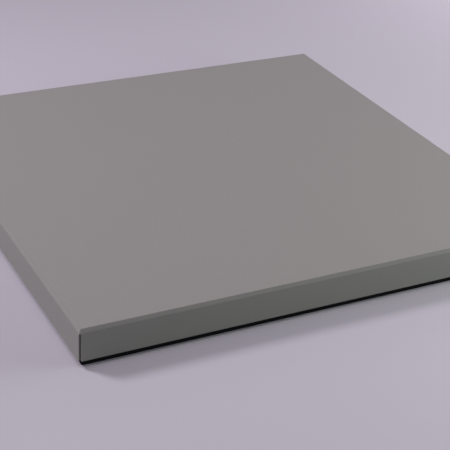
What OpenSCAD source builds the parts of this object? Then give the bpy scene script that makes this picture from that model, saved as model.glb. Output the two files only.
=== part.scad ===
// Acoustic panel: a square sound-absorbing slab with bevelled face edges, wrapped in cloth
// and closed at the back by a black board. The cloth is folded like an envelope at each
// upright corner and turned under the slab as a hem.
// The panel lies face up. The origin is the middle of the board's back face. X runs along
// the front edge, Y runs towards the back edge and Z points out of the face.

/* [Panel] */
// Length of the front and back edges, over the cloth
panel_w = 600; // [300:10:1200]
// Length of the two side edges, over the cloth
panel_d = 600; // [300:10:1200]

/* [Absorbing slab] */
// Thickness of the slab
slab_h = 37; // [20:1:80]
// Width of the bevel along the slab's face edges, seen from above, under the cloth
bevel_w = 2; // [1:0.5:8]
// Height of the same bevel
bevel_h = 3.5; // [1:0.5:8]
// Radius of the slab's upright corners, under the cloth
slab_corner_r = 0.4; // [0.2:0.1:2]

/* [Facing cloth] */
// Thickness of the cloth
cloth_t = 0.8; // [0.5:0.1:1.4]
// Width of the hem that is turned under the slab
hem_w = 30; // [20:1:60]
// Gap between two hems along their mitre
mitre_gap = 1; // [0.5:0.1:3]
// Distance of the folded lip from the upright corner
lip_in = 1.2; // [0.4:0.1:2]

/* [Backing board] */
// Thickness of the board
board_t = 8; // [3:0.5:15]
// Distance of the board's edge from the cloth's outer face
board_in = 4.5; // [2:0.5:15]
// Radius of the board's corners
board_corner_r = 2; // [1:0.5:10]

/* [Hidden] */
// Sizes of the slab, with the cloth left off
slab_w = panel_w - 2 * cloth_t;
slab_d = panel_d - 2 * cloth_t;
// The cloth turns each upright corner on a radius that follows the slab under it
turn_r = slab_corner_r + cloth_t;
// Over the bevel the cloth's thickness counts this far sideways and upwards
slope_l = sqrt(bevel_w ^ 2 + bevel_h ^ 2);
shift_w = cloth_t * bevel_h / slope_l;
shift_h = cloth_t * bevel_w / slope_l;
// The hem lies in a rebate of its own thickness, so it ends flush with the slab's back
body_h = slab_h + cloth_t;
// Surplus cloth at a corner: folded double behind the front and back faces
tuck_t = 2 * cloth_t;
// The fold runs down at 45 degrees, so the surplus is as long as the side is high
tuck_top = lip_in + cloth_t;
tuck_foot = tuck_top + body_h;
// The mitre stops at the cloth of the side walls
mitre_start = tuck_t + cloth_t;
// Cutting shapes run this far past the faces that they cut
past = 1;
$fn = 64;

// Rectangle with its four corners rounded, centred
module rounded_rect(w, d, r) {
    square([w - 2 * r, d], center = true);
    square([w, d - 2 * r], center = true);
    for (sx = [-1, 1], sy = [-1, 1])
        translate([sx * (w / 2 - r), sy * (d / 2 - r)])
            circle(r = r);
}

// Section with upright sides and a bevel on each side of its top
module bevelled_section(w, h) {
    polygon([
        [-w / 2, 0],
        [w / 2, 0],
        [w / 2, h - bevel_h],
        [w / 2 - bevel_w, h],
        [bevel_w - w / 2, h],
        [-w / 2, h - bevel_h]
    ]);
}

// Section of the cloth's outside: one thickness off the slab everywhere, and rounded
// where it turns over the two edges of the bevel
module cloth_section(w) {
    translate([-w / 2 - cloth_t, 0])
        square([w + 2 * cloth_t, slab_h - bevel_h]);
    translate([bevel_w - w / 2, 0])
        square([w - 2 * bevel_w, slab_h + cloth_t]);
    bevelled_section(w + 2 * shift_w, slab_h + shift_h);
    for (sx = [-1, 1]) {
        translate([sx * w / 2, slab_h - bevel_h])
            circle(r = cloth_t);
        translate([sx * (w / 2 - bevel_w), slab_h])
            circle(r = cloth_t);
    }
}

// Runs one section along Y and one along X, and keeps what they share
module crossed() {
    translate([0, 0, board_t])
        intersection() {
            rotate([90, 0, 0])
                linear_extrude(height = panel_d, center = true)
                    children(0);
            rotate([90, 0, 90])
                linear_extrude(height = panel_w, center = true)
                    children(1);
        }
}

// Seen from above: the side faces turn the corner, and the front and back faces
// lie over them and end in a rounded lip beside the corner
module cloth_outline() {
    rounded_rect(panel_w, panel_d - 2 * tuck_t, turn_r);
    rounded_rect(panel_w - 2 * lip_in, panel_d, cloth_t);
}

// Repeats a shape, drawn at the left front corner, at all four corners
module at_corners() {
    for (mx = [0, 1], my = [0, 1])
        mirror([mx, 0, 0])
            mirror([0, my, 0])
                translate([-panel_w / 2, -panel_d / 2, board_t])
                    children();
}

// Surplus cloth of one corner, as it lies folded behind the front face
module tuck() {
    translate([0, cloth_t + tuck_t, 0])
        rotate([90, 0, 0])
            linear_extrude(height = cloth_t + tuck_t + past)
                polygon([
                    [-past, -past],
                    [tuck_foot + past, -past],
                    [tuck_top, body_h],
                    [-past, body_h]
                ]);
}

// Upright walls of the slab where the tucks lie on it
module tucked_outline() {
    rounded_rect(slab_w, slab_d - 2 * tuck_t, slab_corner_r);
}

// Slab above the hems
module slab_body() {
    difference() {
        intersection() {
            crossed() {
                bevelled_section(slab_w, slab_h);
                bevelled_section(slab_d, slab_h);
            }
            translate([0, 0, board_t + cloth_t])
                linear_extrude(height = body_h)
                    rounded_rect(slab_w, slab_d, slab_corner_r);
        }
        difference() {
            at_corners() tuck();
            translate([0, 0, board_t - 2 * past])
                linear_extrude(height = body_h + 3 * past)
                    tucked_outline();
        }
    }
}

// Area inside the hems, where slab and board meet
module hem_window() {
    square([panel_w - 2 * hem_w, panel_d - 2 * hem_w], center = true);
}

// Slit between two hems at a corner
module mitre_slit() {
    translate([mitre_start, mitre_start, -past])
        rotate([0, 0, 45])
            translate([0, -mitre_gap / 2, 0])
                cube([hem_w * sqrt(2), mitre_gap, past + cloth_t]);
}

module facing_cloth() {
    color("#8b8889")
        difference() {
            intersection() {
                crossed() {
                    cloth_section(slab_w);
                    cloth_section(slab_d);
                }
                translate([0, 0, board_t])
                    linear_extrude(height = body_h)
                        cloth_outline();
            }
            slab_body();
            translate([0, 0, board_t - past])
                linear_extrude(height = 2 * past + cloth_t)
                    hem_window();
            at_corners() mitre_slit();
        }
}

module absorber_core() {
    color("#c8bd8c") {
        slab_body();
        translate([0, 0, board_t])
            linear_extrude(height = 2 * cloth_t)
                hem_window();
    }
}

module backing_board() {
    color("#161517")
        linear_extrude(height = board_t)
            rounded_rect(panel_w - 2 * board_in, panel_d - 2 * board_in, board_corner_r);
}

facing_cloth();
absorber_core();
backing_board();
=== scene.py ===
# %% [markdown]
# # A cloth-wrapped acoustic panel
# The panel is a stiff slab of glass wool, wrapped in grey cloth and closed at the back by
# a black board. It lies face up on a plain floor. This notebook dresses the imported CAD
# model: the cloth and the slab are modelled again as soft goods, the board keeps its CAD
# mesh and gets a finish, and a camera and six lamps give the studio picture.
#
# Blender works in metres. The CAD model is loaded first, and everything is placed by it.

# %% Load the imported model
import math

import bmesh
import bpy
from mathutils import Matrix, Vector, noise


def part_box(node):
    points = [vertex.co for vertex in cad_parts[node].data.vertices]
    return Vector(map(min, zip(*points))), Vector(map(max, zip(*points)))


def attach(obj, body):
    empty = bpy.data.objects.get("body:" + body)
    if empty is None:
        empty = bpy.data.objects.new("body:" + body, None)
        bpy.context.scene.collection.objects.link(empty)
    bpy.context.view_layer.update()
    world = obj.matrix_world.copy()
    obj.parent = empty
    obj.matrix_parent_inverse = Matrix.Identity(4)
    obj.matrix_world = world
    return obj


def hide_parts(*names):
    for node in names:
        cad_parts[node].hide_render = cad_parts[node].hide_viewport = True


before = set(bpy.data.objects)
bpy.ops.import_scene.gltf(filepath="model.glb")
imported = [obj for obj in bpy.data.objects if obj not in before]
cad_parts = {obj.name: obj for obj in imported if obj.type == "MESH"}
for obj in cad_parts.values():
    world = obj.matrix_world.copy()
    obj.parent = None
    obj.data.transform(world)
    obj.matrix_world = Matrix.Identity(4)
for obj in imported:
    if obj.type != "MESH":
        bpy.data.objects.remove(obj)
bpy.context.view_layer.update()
MM = 0.001
print("nodes:", sorted(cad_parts))

# %% [markdown]
# ## Where the pieces are
# The boxes of the CAD nodes give every main size, so the looks follow the construction.
# The small sizes of the cloth are close to the ones that the panel is built with: a thin
# woven cloth, folded at each corner like the end of a parcel, with a hem turned under. The
# lip of each fold lies a little further in, because here it gets a round, soft nose, and
# the hem's mitres start clear of it.

# %% Sizes from the CAD boxes
cloth_low, cloth_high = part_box("facing_cloth")
core_low, core_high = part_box("absorber_core")
board_low, board_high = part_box("backing_board")
HALF_W, HALF_D = cloth_high.x, cloth_high.y
TOP, BOTTOM = cloth_high.z, cloth_low.z
CLOTH_T = 0.8 * MM
# The eased edge round the face: its width seen from above, and its height
EASE_IN, EASE_DOWN = 2.3 * MM, 4.1 * MM
# The folds: how far in the lip lies, and how thick the surplus behind it is
LIP_IN, TUCK_T = 2.4 * MM, 1.4 * MM
HEM_W, MITRE_GAP, MITRE_START = 30 * MM, 1.0 * MM, 5.0 * MM
# Points closer together than this count as one
TINY = 0.01 * MM
print("cloth stands on the board at", round(BOTTOM / MM, 2), "mm")
print("board in mm:", [round(c / MM, 1) for c in board_high - board_low])

# %% [markdown]
# ## The cloth's form
# Cloth that is pulled tight over a slab has the slab's form: a flat face, an eased edge
# all round it and upright sides. The quickest way to it is a block whose four top edges
# are planed off with bisect_plane, as a joiner would plane them. A bevel would always be
# as wide as it is high, and this edge is nearly twice as high as it is wide. Every edge is
# then rounded a little, except along the bottom, where the hem is turned in.

# %% A block with planed top edges
SIDES = [Vector((1, 0, 0)), Vector((-1, 0, 0)), Vector((0, 1, 0)), Vector((0, -1, 0))]
ROUNDING = 0.6 * MM


def everything(bm):
    """All that a cut works on."""
    return bm.verts[:] + bm.edges[:] + bm.faces[:]


def planed_block(low, high, ease_in, ease_down):
    """A box whose four top edges are planed, ease_in wide and ease_down high."""
    bm = bmesh.new()
    bmesh.ops.create_cube(bm, size=1)
    bmesh.ops.scale(bm, vec=high - low, verts=bm.verts)
    bmesh.ops.translate(bm, vec=(low + high) / 2, verts=bm.verts)
    for side in SIDES:
        reach = high.x if side.x else high.y
        foot = side * reach + Vector((0, 0, high.z - ease_down))
        slope = side * ease_down + Vector((0, 0, ease_in))
        cut = bmesh.ops.bisect_plane(
            bm, geom=everything(bm), plane_co=foot, plane_no=slope.normalized(),
            clear_outer=True,
        )
        rim = [g for g in cut["geom_cut"] if isinstance(g, bmesh.types.BMEdge)]
        bmesh.ops.contextual_create(bm, geom=rim)
    bmesh.ops.remove_doubles(bm, verts=bm.verts, dist=TINY)
    return bm


def soften(bm, edges, radius, segments):
    """Rounds edges, as thick cloth does."""
    return bmesh.ops.bevel(
        bm, geom=edges, offset=radius, offset_type="OFFSET", segments=segments,
        profile=0.5, affect="EDGES", material=-1, clamp_overlap=True,
    )


cloth = planed_block(cloth_low, cloth_high, EASE_IN, EASE_DOWN)
above_hem = [e for e in cloth.edges if max(v.co.z for v in e.verts) > BOTTOM + TINY]
soften(cloth, above_hem, ROUNDING, segments=4)
print("planed block:", len(cloth.faces), "faces")

# %% [markdown]
# ## Cuts for the hem, the grid and the corners
# Straight cuts through the whole surface give a grid that can carry small waves later,
# and the lines along which the corners fold and the hem ends. The cuts round the sides lie
# closer together towards the top, where the cloth bends most.

# %% Cut the surface
def cut_at(bm, point, normal):
    """Cuts every face that a plane crosses, and takes nothing away."""
    bmesh.ops.bisect_plane(
        bm, geom=everything(bm), plane_co=point, plane_no=normal, dist=TINY / 10
    )


GRID = 20 * MM
GRID_LINES = round(HALF_W / GRID) - 1
INNER_X, INNER_Y = HALF_W - LIP_IN, HALF_D - TUCK_T
# The crevice at a corner ends this far below the eased edge
NOTCH_DROP = 0.8 * MM
NOTCH_TOP = TOP - EASE_DOWN - NOTCH_DROP
# Heights of the cuts round the sides, as shares of the crevice's height
SIDE_CUTS = (0.3, 0.6, 0.85, 1)
for step in range(-GRID_LINES, GRID_LINES + 1):
    cut_at(cloth, (step * GRID, 0, 0), (1, 0, 0))
    cut_at(cloth, (0, step * GRID, 0), (0, 1, 0))
for side in SIDES:
    cut_at(cloth, side * ((HALF_W if side.x else HALF_D) - HEM_W), side)
    cut_at(cloth, side * (INNER_X if side.x else INNER_Y), side)
for share in SIDE_CUTS:
    cut_at(cloth, (0, 0, BOTTOM + (NOTCH_TOP - BOTTOM) * share), (0, 0, 1))
print("after the cuts:", len(cloth.faces), "faces")

# %% [markdown]
# ## Parcel corners
# At each upright corner the side's cloth turns the corner first. The surplus is folded
# away under the front or back cloth, which ends in a folded lip just beside the corner.
# Between the two a narrow crevice runs down the corner, and shows as a thin dark line.
# It is made by taking out a slim column at each corner. The surface is first parted at
# the column's top, so that the roundings end cleanly there.

# %% Take out a column at each corner
def lies_at(geometry, axis, distance):
    """True where all points of an edge or a list are that far out along one axis."""
    points = geometry.verts if hasattr(geometry, "verts") else geometry
    return all(abs(abs(v.co[axis]) - distance) < TINY for v in points)


def in_column(face):
    """True for the faces of the slim columns that the folds leave empty."""
    c = face.calc_center_median()
    return abs(c.x) > INNER_X and abs(c.y) > INNER_Y and c.z < NOTCH_TOP


part_line = [e for e in cloth.edges if lies_at(e, 2, NOTCH_TOP)]
bmesh.ops.split_edges(cloth, edges=part_line)
bmesh.ops.delete(cloth, geom=[f for f in cloth.faces if in_column(f)], context="FACES")
print("parted along", len(part_line), "edges,", len(cloth.faces), "faces left")

# %% [markdown]
# The open column gets two walls, one along each side of the panel. The line in which they
# meet is then pushed on inwards to a crease, which is what makes the crevice look dark.

# %% Close the walls of the crevices
CREASE_X, CREASE_Y = 0.6 * MM, 1.3 * MM


def is_wall_rim(edge):
    """True for the open edges that a column has left below its top."""
    if not edge.is_boundary or edge.link_faces[0].calc_center_median().z > NOTCH_TOP:
        return False
    return lies_at(edge, 0, INNER_X) or lies_at(edge, 1, INNER_Y)


def meets_crease(vert):
    """True for the points in the line where a crevice's two walls meet, and above it."""
    return lies_at([vert], 0, INNER_X) and lies_at([vert], 1, INNER_Y)


def on_corner(vert, sx, sy):
    """True for the points in one quarter of the panel, seen from above."""
    return vert.co.x * sx > 0 and vert.co.y * sy > 0


def each_once(items):
    """The items without repeats. A set would mix them up, in another way in each run."""
    return list(dict.fromkeys(items))


for sx in (-1, 1):
    for sy in (-1, 1):
        rim = [e for e in cloth.edges if is_wall_rim(e) and on_corner(e.verts[0], sx, sy)]
        inner = Vector((sx * INNER_X, sy * INNER_Y, NOTCH_TOP))
        peak = bmesh.ops.create_vert(cloth, co=inner)["vert"]
        ends = [
            v for e in rim for v in e.verts if lies_at([v], 2, NOTCH_TOP) or meets_crease(v)
        ]
        spokes = []
        for end in each_once(ends):
            spokes += bmesh.ops.contextual_create(cloth, geom=peak + [end])["edges"]
        for axis, distance in ((0, INNER_X), (1, INNER_Y)):
            loop = [e for e in rim + spokes if lies_at(e, axis, distance)]
            bmesh.ops.contextual_create(cloth, geom=loop)
        crease_line = [
            v for v in cloth.verts
            if meets_crease(v) and v.co.z < NOTCH_TOP + TINY and on_corner(v, sx, sy)
        ]
        bmesh.ops.translate(
            cloth, verts=crease_line, vec=(-sx * CREASE_X, -sy * CREASE_Y, 0)
        )
print("with the walls:", len(cloth.faces), "faces")

# %% [markdown]
# Cloth has no knife edges. The lip of the fold is a soft round nose, and the side's cloth
# turns the corner on a smaller one. At its top the crevice is closed by a small slope,
# because there the fold is pulled tight over the slab's edge.

# %% Round the lip and the turn, and close the top
LIP_R, TURN_R = 0.9 * MM, 0.4 * MM


def crevice_edges(bm, x, y):
    """The edges that run down a crevice, at that distance out along X and along Y."""
    return [
        e for e in bm.edges
        if lies_at(e, 0, x) and lies_at(e, 1, y)
        and min(v.co.z for v in e.verts) < NOTCH_TOP - TINY
    ]


lips = crevice_edges(cloth, INNER_X, HALF_D)
soften(cloth, lips, LIP_R, segments=4)
turns = crevice_edges(cloth, HALF_W, INNER_Y)
soften(cloth, turns, TURN_R, segments=3)
for side in SIDES:
    start = INNER_X - LIP_R if side.x else INNER_Y - TURN_R
    cut_at(cloth, side * start, side)
for v in cloth.verts:
    if v.is_boundary and v.link_faces[0].calc_center_median().z < NOTCH_TOP:
        v.co.z -= min(HALF_W - abs(v.co.x), HALF_D - abs(v.co.y))
bmesh.ops.remove_doubles(cloth, verts=cloth.verts, dist=TINY / 2)
open_edges = [e for e in cloth.edges if e.is_boundary]
filled = bmesh.ops.holes_fill(cloth, edges=open_edges, sides=0)["faces"]
bmesh.ops.triangulate(cloth, faces=filled)
bmesh.ops.recalc_face_normals(cloth, faces=cloth.faces)
print("rounded", len(lips) + len(turns), "edges, filled", len(filled), "tops")
print("open edges left:", sum(e.is_boundary for e in cloth.edges))
print("volume:", round(cloth.calc_volume(signed=True), 5), "m3")

# %% [markdown]
# ## The hem
# Under the slab the cloth is turned in and glued down as a hem, with a mitre at each
# corner so that it doesn't lie double. The floor inside the hem lines is deleted, and a
# narrow strip along each diagonal.

# %% Open the back
# A face lies level where its normal points up or down by more than this
LEVEL = 0.8


def is_bottom(face):
    """True for the level faces on the underside, where the hem lies."""
    return face.normal.z < -LEVEL and lies_at(face, 2, BOTTOM)


def inside_hem(face):
    """True for the faces that the hem doesn't cover."""
    c = face.calc_center_median()
    return abs(c.x) < HALF_W - HEM_W and abs(c.y) < HALF_D - HEM_W


inside = [f for f in cloth.faces if is_bottom(f) and inside_hem(f)]
bmesh.ops.delete(cloth, geom=inside, context="FACES")
print("hem faces:", len([f for f in cloth.faces if is_bottom(f)]))

# %% [markdown]
# The cuts for the mitres work on the hem's own faces, so they leave the rest of the cloth
# as it is. Each diagonal gets two long cuts beside it, and one across it at its start.

# %% Cut the mitres
def hem_geometry(bm):
    """The hem's faces with their edges and points, for cuts that stay in the hem."""
    faces = [f for f in bm.faces if is_bottom(f)]
    edges = each_once(e for f in faces for e in f.edges)
    verts = each_once(v for f in faces for v in f.verts)
    return faces + edges + verts


START = Vector((HALF_W - MITRE_START, HALF_D - MITRE_START, 0))


def in_slit(face):
    """True for the hem's faces that lie between a diagonal's two long cuts."""
    x, y = face.calc_center_median().xy
    beside = abs(abs(x) - abs(y))
    return beside < MITRE_GAP * math.sqrt(0.5) - TINY and abs(x) < START.x


for sy in (-1, 1):
    along = Vector((1, sy, 0)).normalized()
    across = Vector((-sy, 1, 0)).normalized()
    for side in (-1, 1):
        edge_point = across * side * MITRE_GAP / 2
        start_point = Vector((START.x, START.y * sy, 0)) * side
        for point, normal in ((edge_point, across), (start_point, along)):
            bmesh.ops.bisect_plane(
                cloth, geom=hem_geometry(cloth), plane_co=point, plane_no=normal,
                dist=TINY / 10,
            )
slits = [f for f in cloth.faces if is_bottom(f) and in_slit(f)]
bmesh.ops.delete(cloth, geom=slits, context="FACES")
print("slit faces taken out:", len(slits), "of the hem,", len(cloth.faces), "faces left")

# %% [markdown]
# ## A little life
# No wrap is perfectly straight. A smooth noise moves each point inwards by a part of a
# millimetre, most of all along the eased edge and down the sides, where the cloth is held
# by its glue. Left alone, the noise starts from the clock, and each run would wave another
# way. So it is given a fixed seed, and then it depends on the place only.

# %% Wave the cloth
FACE_WAVE, EDGE_WAVE, EDGE_ZONE = 0.15 * MM, 0.35 * MM, 3 * MM
# Two noises are added: bumps per metre, and the weight of each
SLOW, SLOW_WEIGHT = 14, 0.7
QUICK, QUICK_WEIGHT = 45, 0.5
NOISE_SEED = 6
bmesh.ops.triangulate(
    cloth, faces=[f for f in cloth.faces if len(f.verts) > 4], quad_method="BEAUTY",
    ngon_method="BEAUTY",
)
noise.seed_set(NOISE_SEED)
for v in cloth.verts:
    if v.co.z < BOTTOM + TINY or v.is_boundary:
        continue
    slow = noise.noise_vector(v.co * SLOW)
    quick = noise.noise_vector(v.co * QUICK)
    push = slow * SLOW_WEIGHT + quick * QUICK_WEIGHT
    inward = Vector((
        -math.copysign(push.x, v.co.x) if abs(v.co.x) > HALF_W - EASE_IN else 0,
        -math.copysign(push.y, v.co.y) if abs(v.co.y) > HALF_D - EASE_IN else 0,
        -abs(push.z) if v.co.z > TOP - EASE_DOWN else 0,
    ))
    depth = min(HALF_W - abs(v.co.x), HALF_D - abs(v.co.y))
    v.co += inward * (EDGE_WAVE if depth < EDGE_ZONE else FACE_WAVE)
cloth.normal_update()
print("highest point now", round(max(v.co.z for v in cloth.verts) / MM, 2), "mm")

# %% [markdown]
# ## The weave's own map
# A weave belongs to the cloth and turns every edge with it. So each face gets its place
# on the flat cut as a UV map, in metres: the face of the panel is the middle of the map,
# and each side continues it outwards. That is also how large the cloth was cut.

# %% Unroll the cloth into a UV map
SLOPE_LENGTH = math.hypot(EASE_IN, EASE_DOWN)


def run_down(point, out, half):
    """Length along the cloth from the eased edge's top to a point on that side."""
    depth = TOP - point.z
    if depth < EASE_DOWN:
        return depth / EASE_DOWN * SLOPE_LENGTH
    down = SLOPE_LENGTH + depth - EASE_DOWN
    under = half - abs(out) if point.z < BOTTOM + TINY else 0
    return down + under


def unrolled(point, normal):
    """A point's place on the flat cut, by the side that its face belongs to."""
    x, y = point.x, point.y
    if normal.z > LEVEL:
        return x, y
    side_x = abs(normal.x) > abs(normal.y)
    if normal.z < -LEVEL:
        side_x = abs(x) / HALF_W > abs(y) / HALF_D
    if side_x:
        edge = HALF_W - EASE_IN
        return math.copysign(edge + run_down(point, x, HALF_W), x), y
    edge = HALF_D - EASE_IN
    return x, math.copysign(edge + run_down(point, y, HALF_D), y)


cloth_uv = cloth.loops.layers.uv.new("flat_cut")
for face in cloth.faces:
    for corner in face.loops:
        corner[cloth_uv].uv = unrolled(corner.vert.co, face.normal)

# %% [markdown]
# ## From mesh to object
# One helper turns a bmesh into an object at the origin and gives it a material. Solidify
# gives the cloth its thickness inwards, so the outside stays where it is. At the folded
# corners the cloth is pressed to a part of it, or the inside would push out at the folds.

# %% Make the cloth an object
# An edge stays sharp where the surface turns more than this
SHARP = math.radians(40)
# How far the folds reach from the upright corner, and what they leave of the thickness
PRESSED, PRESSED_SHARE = 6 * MM, 0.15


def shade_smooth(bm):
    """Shades the faces smooth, and leaves the sharp edges sharp."""
    for face in bm.faces:
        face.smooth = True
    for edge in bm.edges:
        edge.smooth = edge.calc_face_angle(0) < SHARP


def place_piece(bm, name, material=None):
    """Turns a bmesh into an object at the origin."""
    mesh = bpy.data.meshes.new(name)
    bm.to_mesh(mesh)
    bm.free()
    piece = bpy.data.objects.new(name, mesh)
    bpy.context.scene.collection.objects.link(piece)
    if material:
        mesh.materials.append(material)
    print(name, "has", len(mesh.polygons), "faces")
    return piece


shade_smooth(cloth)
wrap = place_piece(cloth, "facing_wrap")
thickness = wrap.modifiers.new("cloth_thickness", "SOLIDIFY")
thickness.thickness = CLOTH_T
thickness.offset = -1
thickness.use_even_offset = True
thickness.use_quality_normals = True
unfolded = [
    v.index for v in wrap.data.vertices
    if HALF_W - abs(v.co.x) > PRESSED or HALF_D - abs(v.co.y) > PRESSED
]
wrap.vertex_groups.new(name="full_thickness").add(unfolded, 1.0, "REPLACE")
thickness.vertex_group = "full_thickness"
thickness.thickness_vertex_group = PRESSED_SHARE
shading = wrap.modifiers.new("even_shading", "WEIGHTED_NORMAL")
shading.keep_sharp = True

# %% [markdown]
# ## The slab
# Inside lies the slab that absorbs the sound: pressed glass wool, stiff enough to keep
# an edge. Nothing of it shows, but it is what the cloth rests on. It is a planed block
# again, a hair smaller than the inside of the cloth. Its upright corners are rounded to
# make room for the folded surplus, and its back is stepped round the hem, as a rebate.

# %% Model the slab
CLEAR = 0.3 * MM
SLAB_EASE_IN, SLAB_EASE_DOWN, SLAB_CORNER_R = 2 * MM, 3.5 * MM, 10 * MM


def is_upright(edge):
    """True for the edges that run straight up."""
    start, end = (v.co for v in edge.verts)
    return (start - end).xy.length < TINY


lift = Vector((CLEAR, CLEAR, CLOTH_T + CLEAR))
slab = planed_block(
    core_low + lift, core_high - Vector((CLEAR,) * 3), SLAB_EASE_IN, SLAB_EASE_DOWN
)
soften(slab, [e for e in slab.edges if is_upright(e)], SLAB_CORNER_R, segments=6)
slab.normal_update()
slab_back = [f for f in slab.faces if f.normal.z < -LEVEL]
bmesh.ops.inset_region(slab, faces=slab_back, thickness=HEM_W, use_even_offset=True)
stepped = bmesh.ops.extrude_face_region(slab, geom=slab_back)["geom"]
bmesh.ops.delete(slab, geom=slab_back, context="FACES")
step_points = [g for g in stepped if isinstance(g, bmesh.types.BMVert)]
bmesh.ops.translate(slab, vec=(0, 0, -CLOTH_T), verts=step_points)
bmesh.ops.recalc_face_normals(slab, faces=slab.faces)
shade_smooth(slab)
print("slab is closed:", all(e.is_manifold for e in slab.edges))
print("slab volume:", round(slab.calc_volume() * 1000, 2), "litres")
core = place_piece(slab, "glass_wool_slab")

# %% [markdown]
# ## Materials
# Colours are written as sRGB hex values, as a paint chart gives them, and turned to the
# linear values that the shader works in. One function adds a node, sets it and links it.

# %% Helpers for materials
def linear(hex_colour):
    """sRGB hex to linear red, green, blue and an alpha of 1."""
    parts = [int(hex_colour[i:i + 2], 16) / 255 for i in (1, 3, 5)]
    return [c / 12.92 if c < 0.04045 else ((c + 0.055) / 1.055) ** 2.4 for c in parts] + [1]


def add_node(tree, kind, settings=None, links=None):
    """Adds a node. Settings are its options or its sockets' values, links are sockets."""
    new = tree.nodes.new(kind)
    for key, value in (settings or {}).items():
        if isinstance(key, str) and hasattr(new, key):
            setattr(new, key, value)
        else:
            new.inputs[key].default_value = value
    for key, socket in (links or {}).items():
        tree.links.new(socket, new.inputs[key])
    return new


def new_material(name, roughness, specular=0.5):
    """A material, with its node tree and its shader."""
    material = bpy.data.materials.new(name)
    material.use_nodes = True
    shader = material.node_tree.nodes["Principled BSDF"]
    shader.inputs["Roughness"].default_value = roughness
    shader.inputs["Specular IOR Level"].default_value = specular
    return material, material.node_tree, shader


print("sRGB #808080 is", round(linear("#808080")[0], 3), "in linear light")

# %% [markdown]
# ### Woven polyester
# Acoustic cloth is a plain weave of matt spun yarn, open enough for air. Its threads lie
# about 0.8 mm apart, which is less than a pixel here, so they are drawn twice as coarse,
# and faint, because the real cloth looks smooth from this far. The product of two sine
# waves gives one pillow for each crossing, and its sign says which thread is on top. The
# two threads differ a little in shade, and a slow noise gives the uneven yarn.

# %% The cloth's material
THREAD, DRAWN_COARSER, YARN_PATCH = 0.8 * MM, 2, 3 * MM
drawn_thread = THREAD * DRAWN_COARSER
woven, tree, shader = new_material("woven_polyester", roughness=0.95, specular=0.2)
flat_cut = add_node(tree, "ShaderNodeUVMap", {"uv_map": "flat_cut"})
split = add_node(tree, "ShaderNodeSeparateXYZ", links={0: flat_cut.outputs[0]})
waves = []
for axis in ("X", "Y"):
    phase = add_node(tree, "ShaderNodeMath",
                     {"operation": "MULTIPLY", 1: math.pi / drawn_thread},
                     {0: split.outputs[axis]})
    wave = add_node(tree, "ShaderNodeMath", {"operation": "SINE"}, {0: phase.outputs[0]})
    waves.append(wave.outputs[0])
crossing = add_node(tree, "ShaderNodeMath", {"operation": "MULTIPLY"},
                    {0: waves[0], 1: waves[1]})
pillow = add_node(tree, "ShaderNodeMath", {"operation": "ABSOLUTE"},
                  {0: crossing.outputs[0]})
on_top = add_node(tree, "ShaderNodeMath", {"operation": "GREATER_THAN", 1: 0.0},
                  {0: crossing.outputs[0]})
yarn = add_node(tree, "ShaderNodeTexNoise", {"Scale": 1 / YARN_PATCH, "Detail": 3.0},
                {"Vector": flat_cut.outputs[0]})
warp_weft = add_node(tree, "ShaderNodeMix",
                     {"data_type": "RGBA", 6: linear("#878183"), 7: linear("#8e888a")},
                     {0: on_top.outputs[0]})
shade = add_node(tree, "ShaderNodeMapRange", {"To Min": 0.96, "To Max": 1.04},
                 {"Value": yarn.outputs[0]})
cloth_colour = add_node(tree, "ShaderNodeMix",
                        {"data_type": "RGBA", "blend_type": "MULTIPLY", 0: 1.0},
                        {6: warp_weft.outputs[2], 7: shade.outputs[0]})
relief = add_node(tree, "ShaderNodeBump", {"Strength": 0.3, "Distance": 0.3 * MM},
                  {"Height": pillow.outputs[0]})
tree.links.new(cloth_colour.outputs[2], shader.inputs["Base Color"])
tree.links.new(relief.outputs[0], shader.inputs["Normal"])
wrap.data.materials.append(woven)
print("threads drawn", drawn_thread / MM, "mm apart")

# %% [markdown]
# ### Glass wool
# Pressed glass wool is straw yellow from its binder, with fine fibres that lie mostly in
# the plane of the slab, so the noise is pressed flat. It is as matt as a surface gets.

# %% The slab's material
FIBRE_TUFT, PRESSED_FLAT = 4 * MM, 6
wool, tree, shader = new_material("pressed_glass_wool", roughness=1.0)
place = add_node(tree, "ShaderNodeTexCoord")
flattened = add_node(tree, "ShaderNodeMapping", {"Scale": (1, 1, PRESSED_FLAT)},
                     {"Vector": place.outputs["Object"]})
fibres = add_node(tree, "ShaderNodeTexNoise",
                  {"Scale": 1 / FIBRE_TUFT, "Detail": 6.0, "Distortion": 1.5},
                  {"Vector": flattened.outputs[0]})
wool_colour = add_node(tree, "ShaderNodeMix",
                       {"data_type": "RGBA", 6: linear("#b8ab74"), 7: linear("#d8cfa4")},
                       {0: fibres.outputs[0]})
fuzz = add_node(tree, "ShaderNodeBump", {"Strength": 0.6, "Distance": 0.5 * MM},
                {"Height": fibres.outputs[0]})
tree.links.new(wool_colour.outputs[2], shader.inputs["Base Color"])
tree.links.new(fuzz.outputs[0], shader.inputs["Normal"])
core.data.materials.append(wool)
print("tufts of fibre:", FIBRE_TUFT / MM, "mm wide")

# %% [markdown]
# ### Black fibreboard
# The board is through-dyed fibreboard, sanded and matt. Its fibres show as a very fine
# mottle, a shade lighter than the black.

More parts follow.
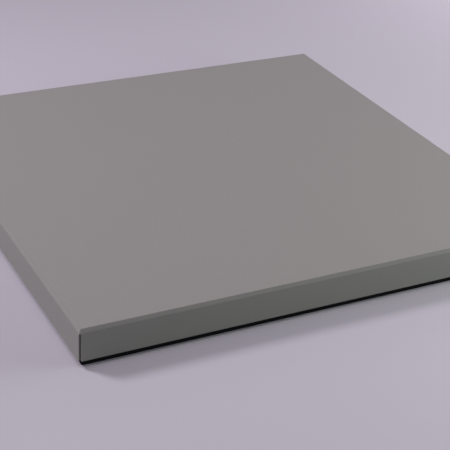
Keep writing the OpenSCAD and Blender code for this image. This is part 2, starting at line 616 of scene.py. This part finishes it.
# %% The board's material
MOTTLE = 1.5 * MM
board_finish, tree, shader = new_material(
    "through_dyed_fibreboard", roughness=0.95, specular=0.1
)
place = add_node(tree, "ShaderNodeTexCoord")
mottle = add_node(tree, "ShaderNodeTexNoise", {"Scale": 1 / MOTTLE, "Detail": 5.0},
                  {"Vector": place.outputs["Object"]})
board_colour = add_node(tree, "ShaderNodeMix",
                        {"data_type": "RGBA", 6: linear("#100c12"), 7: linear("#171318")},
                        {0: mottle.outputs[0]})
grain = add_node(tree, "ShaderNodeBump", {"Strength": 0.2, "Distance": 0.1 * MM},
                 {"Height": mottle.outputs[0]})
tree.links.new(board_colour.outputs[2], shader.inputs["Base Color"])
tree.links.new(grain.outputs[0], shader.inputs["Normal"])
board_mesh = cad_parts["backing_board"].data
board_mesh.materials.clear()
board_mesh.materials.append(board_finish)
print("mottle of the board:", MOTTLE / MM, "mm")

# %% [markdown]
# ## Pieces and bodies
# The panel has no joints, so the wrap and the slab ride on the one body. They take the
# place of their CAD solids.

# %% Say what each piece is
for piece, node_name, slot_name in (
    (wrap, "facing_cloth", "grey_cloth"),
    (core, "absorber_core", "fibre_slab"),
):
    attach(piece, "root")
    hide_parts(node_name)
    print(piece.name, "stands for", node_name)

# %% [markdown]
# ## Floor, lights and camera
# The floor is one plain matt plane. Further off it turns into the backdrop for the camera,
# as a paper cove does, so that no view shows where the lamps' light ends. The change is
# made with Light Path, so the panel itself gets no light from it. In the same way the floor
# shows a lilac tint, but throws back grey light, because the panel's sides show no lilac.

# %% Floor
BACKDROP = "#c9c2cf"
FLOOR_SEEN, FLOOR_BOUNCE = "#b8afbe", "#b4b7ba"
FLOOR_REACH = 6
# The cove begins and ends at these distances from a point near the panel's middle
COVE_MIDDLE, COVE_START, COVE_END = (0.1, 0.15, 0), 0.8, 1.0


def seen_rays(tree):
    """1 for the rays that show a background, to the eye or in a gloss, and 0 for light."""
    rays = add_node(tree, "ShaderNodeLightPath")
    seen = rays.outputs["Is Camera Ray"]
    for kind in ("Is Glossy Ray", "Is Transmission Ray"):
        seen = add_node(tree, "ShaderNodeMath", {"operation": "MAXIMUM"},
                        {0: seen, 1: rays.outputs[kind]}).outputs[0]
    return seen


floor_mesh = bmesh.new()
bmesh.ops.create_grid(floor_mesh, x_segments=1, y_segments=1, size=FLOOR_REACH)
floor_finish, tree, shader = new_material("matt_floor", roughness=0.9, specular=0.2)
seen = seen_rays(tree)
floor_colour = add_node(
    tree, "ShaderNodeMix",
    {"data_type": "RGBA", 6: linear(FLOOR_BOUNCE), 7: linear(FLOOR_SEEN)}, {0: seen},
)
tree.links.new(floor_colour.outputs[2], shader.inputs["Base Color"])
place = add_node(tree, "ShaderNodeTexCoord")
far_off = add_node(tree, "ShaderNodeVectorMath",
                   {"operation": "DISTANCE", 1: COVE_MIDDLE},
                   {0: place.outputs["Object"]})
cove = add_node(
    tree, "ShaderNodeMapRange",
    {"interpolation_type": "SMOOTHSTEP", "From Min": COVE_START, "From Max": COVE_END},
    {"Value": far_off.outputs["Value"]},
)
cove_seen = add_node(tree, "ShaderNodeMath", {"operation": "MULTIPLY"},
                     {0: cove.outputs[0], 1: seen})
paper = add_node(tree, "ShaderNodeEmission", {"Color": linear(BACKDROP)})
blended = add_node(
    tree, "ShaderNodeMixShader",
    links={0: cove_seen.outputs[0], 1: shader.outputs[0], 2: paper.outputs[0]},
)
tree.links.new(blended.outputs[0], tree.nodes["Material Output"].inputs["Surface"])
floor = place_piece(floor_mesh, "floor", floor_finish)

# %% [markdown]
# Six round, soft lamps stand one to two metres from a point near the panel's near corner.
# The smallest, behind on the left, throws the short shadow in front. The others are wider:
# they fill the sides, more on the right than on the left. The near one has a trace of
# green, because the cloth is faintly rose on the panel's face, and neutral on its front.

# %% Lamps
AIM = Vector((-0.2, -0.2, 0.02))
# Direction round the panel (0 is the front, 90 the right), height, distance, width,
# strength and colour. A small lamp of strength 1 would by itself light a white sheet that
# faces it at the aim to plain white. That takes (pi * distance) squared watts.
LAMPS = (
    ("behind_left", 226, 44, 2.0, 0.5, 0.58, "#ffffff"),
    ("overhead", 300, 75, 2.0, 1.0, 0.27, "#ffffff"),
    ("left", 278, 10, 2.0, 1.0, 0.21, "#ffffff"),
    ("back_right", 120, 8, 2.0, 1.0, 0.38, "#ffffff"),
    ("right", 90, 20, 2.0, 1.0, 0.25, "#ffffff"),
    ("near_right", 62, 18, 1.15, 0.6, 0.36, "#ebffed"),
)


def direction_to(turn, height):
    """Direction from the panel, by an angle round it and a height, in degrees."""
    turn, height = math.radians(turn), math.radians(height)
    return Vector((
        math.sin(turn) * math.cos(height),
        -math.cos(turn) * math.cos(height),
        math.sin(height),
    ))


for name, turn, height, distance, width, strength, colour in LAMPS:
    direction = direction_to(turn, height)
    lamp = bpy.data.lights.new(name, "AREA")
    lamp.shape = "DISK"
    lamp.size = width
    lamp.energy = strength * (math.pi * distance) ** 2
    lamp.color = linear(colour)[:3]
    holder = bpy.data.objects.new(name, lamp)
    holder.location = AIM + direction * distance
    holder.rotation_euler = direction.to_track_quat("Z", "Y").to_euler()
    bpy.context.scene.collection.objects.link(holder)
print(len(LAMPS), "lamps")

# %% [markdown]
# The world adds a weak grey light from all sides, so that no shadow is quite black. Where
# the camera looks past the floor, it shows the backdrop's colour instead.

# %% World
AMBIENT = (0.08, 0.08, 0.08, 1)
world = bpy.data.worlds.new("studio")
bpy.context.scene.world = world
world.use_nodes = True
sky = world.node_tree
backdrop = add_node(sky, "ShaderNodeMix",
                    {"data_type": "RGBA", 6: AMBIENT, 7: linear(BACKDROP)},
                    {0: seen_rays(sky)})
sky.links.new(backdrop.outputs[2], sky.nodes["Background"].inputs["Color"])
print("ambient light:", AMBIENT[0])

# %% [markdown]
# The camera looks down on the near corner from the front left, through a long lens, which
# keeps the panel's edges nearly parallel. It is tilted a little to one side. Its place is
# measured from the lower end of the near corner of the cloth.

# %% Camera
FOCAL_PX, IMAGE_PX, SENSOR = 1325.5, 450, 36.0
TURN, HEIGHT, ROLL = -28.142, 28.233, math.radians(3.237)
NEAR_CORNER = (-HALF_W, -HALF_D, board_high.z)
FROM_CORNER = (-0.4005, -1.0437, 0.7620)
back = direction_to(TURN, HEIGHT)
right = (-back).cross(Vector((0, 0, 1))).normalized()
up = right.cross(-back)
camera_x = right * math.cos(ROLL) + up * math.sin(ROLL)
camera_y = up * math.cos(ROLL) - right * math.sin(ROLL)
camera = bpy.data.objects.new("camera", bpy.data.cameras.new("camera"))
camera.matrix_world = Matrix((camera_x, camera_y, back)).transposed().to_4x4()
camera.matrix_world.translation = [a + b for a, b in zip(NEAR_CORNER, FROM_CORNER)]
camera.data.lens = FOCAL_PX / IMAGE_PX * SENSOR
camera.data.sensor_width = SENSOR
camera.data.clip_start = 0.01
bpy.context.scene.collection.objects.link(camera)
bpy.context.scene.camera = camera
bpy.context.scene.view_settings.view_transform = "Standard"
print("lens:", round(camera.data.lens, 1), "mm")
